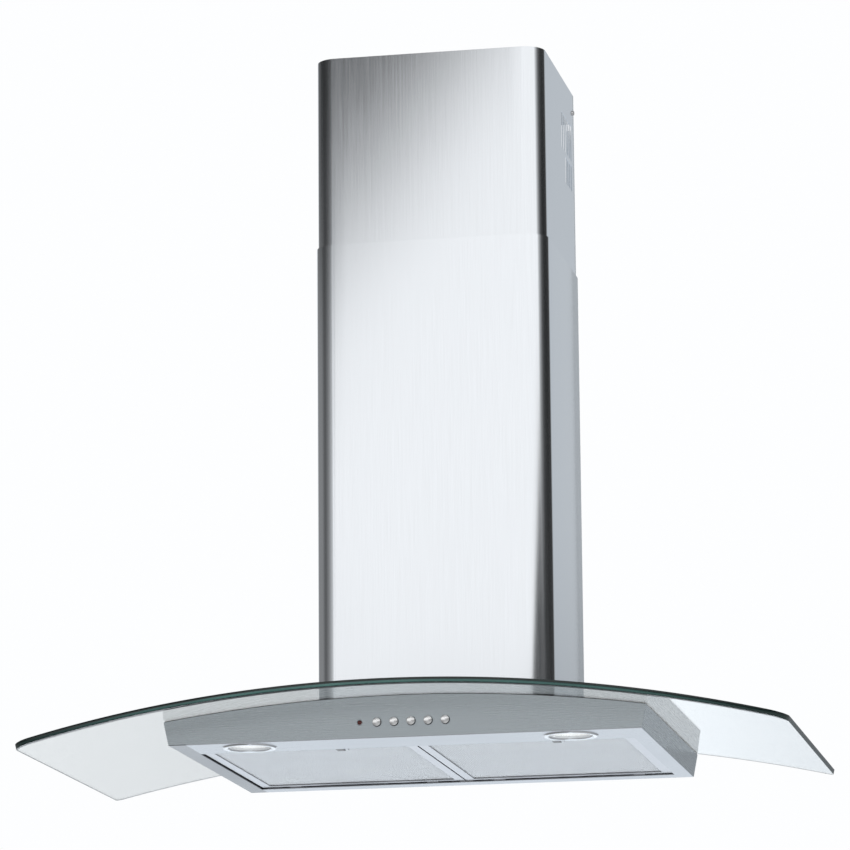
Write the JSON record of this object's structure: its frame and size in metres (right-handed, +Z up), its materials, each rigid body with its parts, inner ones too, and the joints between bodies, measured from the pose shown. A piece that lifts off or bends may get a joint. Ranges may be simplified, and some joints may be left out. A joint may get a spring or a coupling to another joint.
{
  "type": "range hood",
  "caption": "Wall chimney range hood with an arched clear glass canopy, a telescopic steel chimney, push buttons, two lamps and two hinged grease filters over a fan box.",
  "frame": {"origin": "middle of the two wall hanging holes, on the wall face of the motor box, 250 mm above the body's underside", "axes": "+X to the right seen from the front, +Y back into the wall, +Z up"},
  "size_m": [0.9, 0.5, 0.8745],
  "materials": {
    "clear_glass": "clear toughened glass with a green edge",
    "brushed_steel": "fine brushed stainless steel",
    "zinc_sheet": "galvanised sheet steel",
    "filter_aluminium": "satin folded aluminium",
    "filter_mesh": "expanded aluminium mesh",
    "latch_plastic": "satin grey plastic",
    "chrome_trim": "satin chrome",
    "lamp_glass": "frosted glass",
    "lamp_bulb": "ceramic and clear capsule",
    "indicator_lens": "dark red lens",
    "lamp_housing": "bright reflector cup",
    "fan_plastic": "dark grey moulded plastic",
    "black_plastic": "black moulded plastic",
    "board": "green circuit board",
    "transformer": "grey cased transformer",
    "motor": "grey painted motor can",
    "shaft_steel": "zinc-plated steel",
    "gasket_rubber": "black rubber"
  },
  "bodies": {
    "hood": {"glass_canopy": "clear_glass", "canopy_casing": "brushed_steel", "front_fascia": "brushed_steel", "chimney_lower": "brushed_steel", "base_panel": "brushed_steel", "canopy_cover": "zinc_sheet", "filter_rail": "zinc_sheet", "motor_box": "zinc_sheet", "motor_box_cover": "zinc_sheet", "motor_bracket": "zinc_sheet", "lamp_ring_left": "chrome_trim", "lamp_ring_right": "chrome_trim", "lamp_glass_left": "lamp_glass", "lamp_glass_right": "lamp_glass", "lamp_bulb_left": "lamp_bulb", "lamp_bulb_right": "lamp_bulb", "indicator_lamp": "indicator_lens", "lamp_housing_left": "lamp_housing", "lamp_housing_right": "lamp_housing", "scroll_left": "fan_plastic", "scroll_right": "fan_plastic", "outlet_collar": "fan_plastic", "switch_block": "black_plastic", "terminal_box": "black_plastic", "terminal_lid": "black_plastic", "cable_gland": "black_plastic", "motor_capacitor": "black_plastic", "control_board": "board", "lamp_transformer": "transformer", "fan_motor": "motor", "clamp_screws": "shaft_steel", "clamp_nuts": "shaft_steel", "chimney_screws": "shaft_steel", "cover_screws": "shaft_steel", "edge_gasket": "gasket_rubber", "box_gasket": "gasket_rubber", "glass_bushes": "gasket_rubber"},
    "upper_chimney": {"chimney_upper": "brushed_steel", "chimney_bracket": "zinc_sheet", "bracket_screws": "shaft_steel"},
    "fan": {"impeller": "fan_plastic", "motor_shaft": "shaft_steel", "hub_nut": "shaft_steel"},
    "front_flap": {"flap_front": "fan_plastic"},
    "rear_flap": {"flap_rear": "fan_plastic"},
    "left_filter": {"filter_frame_left": "filter_aluminium", "filter_mesh_left": "filter_mesh"},
    "right_filter": {"filter_frame_right": "filter_aluminium", "filter_mesh_right": "filter_mesh"},
    "left_latch": {"filter_latch_left": "latch_plastic"},
    "right_latch": {"filter_latch_right": "latch_plastic"},
    "light_button": {"button_light": "chrome_trim"},
    "off_button": {"button_off": "chrome_trim"},
    "low_button": {"button_low": "chrome_trim"},
    "medium_button": {"button_medium": "chrome_trim"},
    "high_button": {"button_high": "chrome_trim"}
  },
  "joints": [
    {"name": "chimney_slide", "type": "slide", "parent": "hood", "child": "upper_chimney", "axis": [0, 0, 1], "range_m": [-0.19, 0.24]},
    {"name": "fan_spin", "type": "hinge", "parent": "hood", "child": "fan", "pos_m": [0, -0.11, -0.078], "axis": [1, 0, 0], "continuous": true},
    {"name": "front_flap_hinge", "type": "hinge", "parent": "hood", "child": "front_flap", "pos_m": [0, -0.1216, 0.065], "axis": [-1, 0, 0], "range_deg": [0, 80]},
    {"name": "rear_flap_hinge", "type": "hinge", "parent": "hood", "child": "rear_flap", "pos_m": [0, -0.1144, 0.065], "axis": [1, 0, 0], "range_deg": [0, 80]},
    {"name": "left_filter_hinge", "type": "hinge", "parent": "hood", "child": "left_filter", "pos_m": [-0.128, -0.026, -0.249], "axis": [1, 0, 0], "range_deg": [0, 75]},
    {"name": "right_filter_hinge", "type": "hinge", "parent": "hood", "child": "right_filter", "pos_m": [0.128, -0.026, -0.249], "axis": [1, 0, 0], "range_deg": [0, 75]},
    {"name": "left_latch_slide", "type": "slide", "parent": "left_filter", "child": "left_latch", "axis": [0, 1, 0], "range_m": [0, 0.005], "stiffness_N_per_m": 400},
    {"name": "right_latch_slide", "type": "slide", "parent": "right_filter", "child": "right_latch", "axis": [0, 1, 0], "range_m": [0, 0.005], "stiffness_N_per_m": 400},
    {"name": "light_button_press", "type": "slide", "parent": "hood", "child": "light_button", "axis": [0, 1, 0], "range_m": [0, 0.003], "stiffness_N_per_m": 500},
    {"name": "off_button_press", "type": "slide", "parent": "hood", "child": "off_button", "axis": [0, 1, 0], "range_m": [0, 0.003], "stiffness_N_per_m": 500},
    {"name": "low_button_press", "type": "slide", "parent": "hood", "child": "low_button", "axis": [0, 1, 0], "range_m": [0, 0.003], "stiffness_N_per_m": 500},
    {"name": "medium_button_press", "type": "slide", "parent": "hood", "child": "medium_button", "axis": [0, 1, 0], "range_m": [0, 0.003], "stiffness_N_per_m": 500},
    {"name": "high_button_press", "type": "slide", "parent": "hood", "child": "high_button", "axis": [0, 1, 0], "range_m": [0, 0.003], "stiffness_N_per_m": 500}
  ]
}
